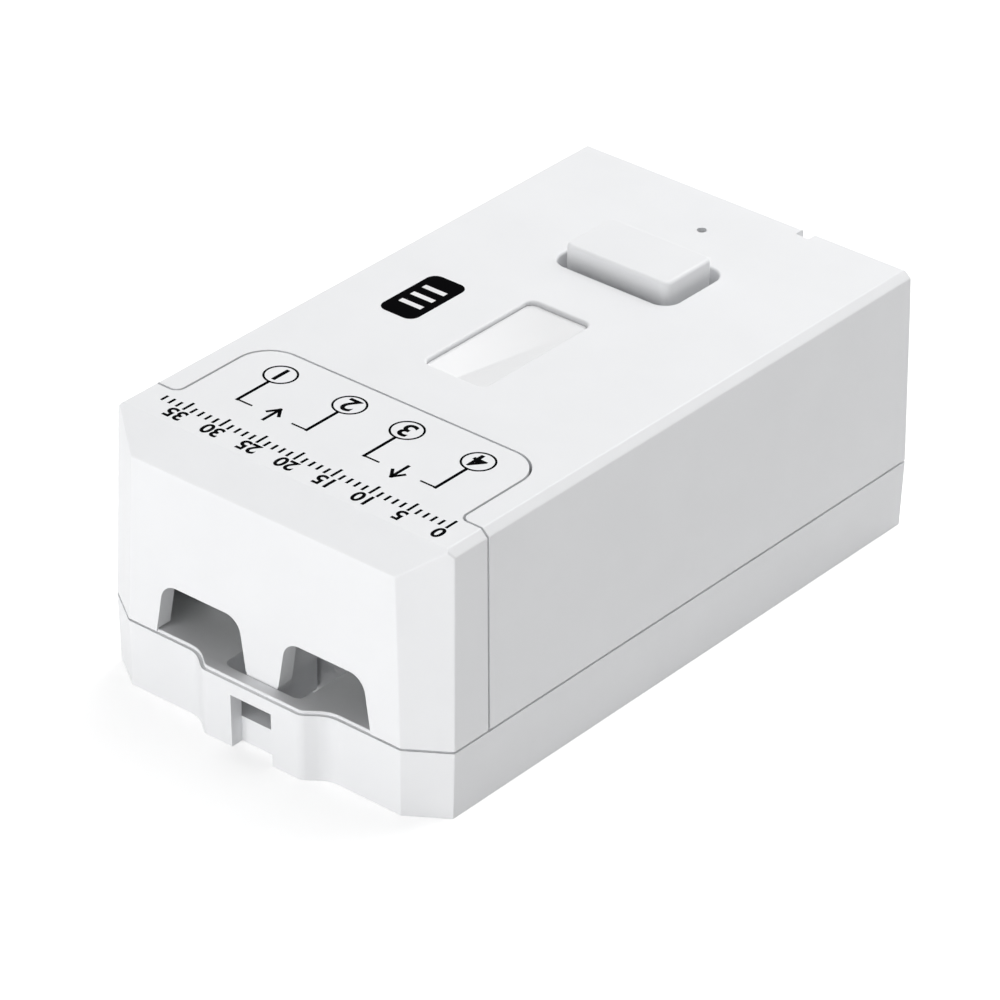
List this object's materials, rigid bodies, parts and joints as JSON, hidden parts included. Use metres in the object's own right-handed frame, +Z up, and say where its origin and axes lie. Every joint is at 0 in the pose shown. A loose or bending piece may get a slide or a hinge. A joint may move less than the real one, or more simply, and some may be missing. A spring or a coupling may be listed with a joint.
{
  "type": "radio receiver",
  "caption": "In-line mains radio receiver in a white plastic case, with a push button on top and a lift-off cover over the cable entries and terminals.",
  "frame": {"origin": "middle of the underside's bounding rectangle", "axes": "+Z up, -Y towards the cable entries, +X to the right seen from the cable end"},
  "size_m": [0.046, 0.0808, 0.0334],
  "materials": {
    "housing": "fine satin white plastic",
    "button": "fine satin white plastic",
    "lens": "glossy white insert",
    "light_guide": "clear plastic",
    "steel": "zinc plated",
    "brass": "plain",
    "circuit_board": "green solder mask",
    "terminal_plastic": "moulded",
    "grip_plastic": "moulded",
    "relay_case": "moulded",
    "module_case": "potted",
    "fuse_tube": "glazed",
    "varistor_coat": "dipped",
    "film_case": "moulded",
    "can_sleeve": "shrink sleeve",
    "header_plastic": "moulded",
    "module_board": "dark solder mask",
    "shield_tin": "tinned",
    "switch_body": "moulded",
    "led_body": "clear over white"
  },
  "bodies": {
    "root": {"base_tray": "housing", "main_cover": "housing", "window_lens": "lens", "light_guide": "light_guide", "case_screws": "steel", "power_board": "circuit_board", "power_board_screws": "steel", "terminal_block_in": "terminal_plastic", "terminal_block_out": "terminal_plastic", "terminal_contacts": "brass", "relay": "relay_case", "power_module": "module_case", "fuse": "fuse_tube", "varistor": "varistor_coat", "film_capacitor": "film_case", "smoothing_capacitor": "can_sleeve", "board_header": "header_plastic", "radio_board": "circuit_board", "radio_board_screws": "steel", "radio_module": "module_board", "radio_shield": "shield_tin", "tact_switch": "switch_body", "status_led": "led_body"},
    "terminal_cover": {"terminal_cover": "housing", "terminal_cover_latch": "housing"},
    "button": {"button_cap": "button"},
    "plunger": {"tact_plunger": "switch_body"},
    "terminal_screw_1": {"terminal_screw_1": "steel"},
    "clamp_cage_1": {"clamp_cage_1": "steel"},
    "terminal_screw_2": {"terminal_screw_2": "steel"},
    "clamp_cage_2": {"clamp_cage_2": "steel"},
    "terminal_screw_3": {"terminal_screw_3": "steel"},
    "clamp_cage_3": {"clamp_cage_3": "steel"},
    "terminal_screw_4": {"terminal_screw_4": "steel"},
    "clamp_cage_4": {"clamp_cage_4": "steel"},
    "cord_bar_in": {"cord_bar_in": "grip_plastic"},
    "cord_screw_1": {"cord_screw_1": "steel"},
    "cord_screw_2": {"cord_screw_2": "steel"},
    "cord_bar_out": {"cord_bar_out": "grip_plastic"},
    "cord_screw_3": {"cord_screw_3": "steel"},
    "cord_screw_4": {"cord_screw_4": "steel"}
  },
  "joints": [
    {"name": "terminal_cover_lift", "type": "slide", "parent": "root", "child": "terminal_cover", "axis": [0, 0, 1], "range_m": [0, 0.035], "deforming": ["terminal_cover_latch"]},
    {"name": "button_press", "type": "slide", "parent": "root", "child": "button", "axis": [0, 0, -1], "range_m": [0, 0.0005], "stiffness_N_per_m": 800, "springref_m": -0.0005},
    {"name": "plunger_press", "type": "slide", "parent": "root", "child": "plunger", "axis": [0, 0, -1], "range_m": [0, 0.0005]},
    {"name": "clamp_cage_1_rise", "type": "slide", "parent": "root", "child": "clamp_cage_1", "axis": [0, 0, 1], "range_m": [0, 0.0034]},
    {"name": "terminal_screw_1_turn", "type": "hinge", "parent": "root", "child": "terminal_screw_1", "pos_m": [-0.01325, -0.02067, 0.02], "axis": [0, 0, -1], "range_deg": [0, 2448.1]},
    {"name": "clamp_cage_2_rise", "type": "slide", "parent": "root", "child": "clamp_cage_2", "axis": [0, 0, 1], "range_m": [0, 0.0034]},
    {"name": "terminal_screw_2_turn", "type": "hinge", "parent": "root", "child": "terminal_screw_2", "pos_m": [-0.00385, -0.02067, 0.02], "axis": [0, 0, -1], "range_deg": [0, 2448.1]},
    {"name": "clamp_cage_3_rise", "type": "slide", "parent": "root", "child": "clamp_cage_3", "axis": [0, 0, 1], "range_m": [0, 0.0034]},
    {"name": "terminal_screw_3_turn", "type": "hinge", "parent": "root", "child": "terminal_screw_3", "pos_m": [0.00385, -0.02067, 0.02], "axis": [0, 0, -1], "range_deg": [0, 2448.1]},
    {"name": "clamp_cage_4_rise", "type": "slide", "parent": "root", "child": "clamp_cage_4", "axis": [0, 0, 1], "range_m": [0, 0.0034]},
    {"name": "terminal_screw_4_turn", "type": "hinge", "parent": "root", "child": "terminal_screw_4", "pos_m": [0.01325, -0.02067, 0.02], "axis": [0, 0, -1], "range_deg": [0, 2448.1]},
    {"name": "cord_bar_in_rise", "type": "slide", "parent": "root", "child": "cord_bar_in", "axis": [0, 0, 1], "range_m": [0, 0.005]},
    {"name": "cord_screw_1_turn", "type": "hinge", "parent": "cord_bar_in", "child": "cord_screw_1", "pos_m": [-0.01335, -0.02838, 0.012], "axis": [0, 0, 1], "range_deg": [0, 1698.1]},
    {"name": "cord_screw_2_turn", "type": "hinge", "parent": "cord_bar_in", "child": "cord_screw_2", "pos_m": [-0.00335, -0.02838, 0.012], "axis": [0, 0, 1], "range_deg": [0, 1698.1]},
    {"name": "cord_bar_out_rise", "type": "slide", "parent": "root", "child": "cord_bar_out", "axis": [0, 0, 1], "range_m": [0, 0.005]},
    {"name": "cord_screw_3_turn", "type": "hinge", "parent": "cord_bar_out", "child": "cord_screw_3", "pos_m": [0.00335, -0.02838, 0.012], "axis": [0, 0, 1], "range_deg": [0, 1698.1]},
    {"name": "cord_screw_4_turn", "type": "hinge", "parent": "cord_bar_out", "child": "cord_screw_4", "pos_m": [0.01335, -0.02838, 0.012], "axis": [0, 0, 1], "range_deg": [0, 1698.1]}
  ],
  "couplings": [
    {"joint": "plunger_press", "follows": "button_press", "ratio": 1},
    {"joint": "terminal_screw_1_turn", "follows": "clamp_cage_1_rise", "rad_per_m": 12566},
    {"joint": "terminal_screw_2_turn", "follows": "clamp_cage_2_rise", "rad_per_m": 12566},
    {"joint": "terminal_screw_3_turn", "follows": "clamp_cage_3_rise", "rad_per_m": 12566},
    {"joint": "terminal_screw_4_turn", "follows": "clamp_cage_4_rise", "rad_per_m": 12566},
    {"joint": "cord_screw_1_turn", "follows": "cord_bar_in_rise", "rad_per_m": 5927.1},
    {"joint": "cord_screw_2_turn", "follows": "cord_bar_in_rise", "rad_per_m": 5927.1},
    {"joint": "cord_screw_3_turn", "follows": "cord_bar_out_rise", "rad_per_m": 5927.1},
    {"joint": "cord_screw_4_turn", "follows": "cord_bar_out_rise", "rad_per_m": 5927.1}
  ]
}
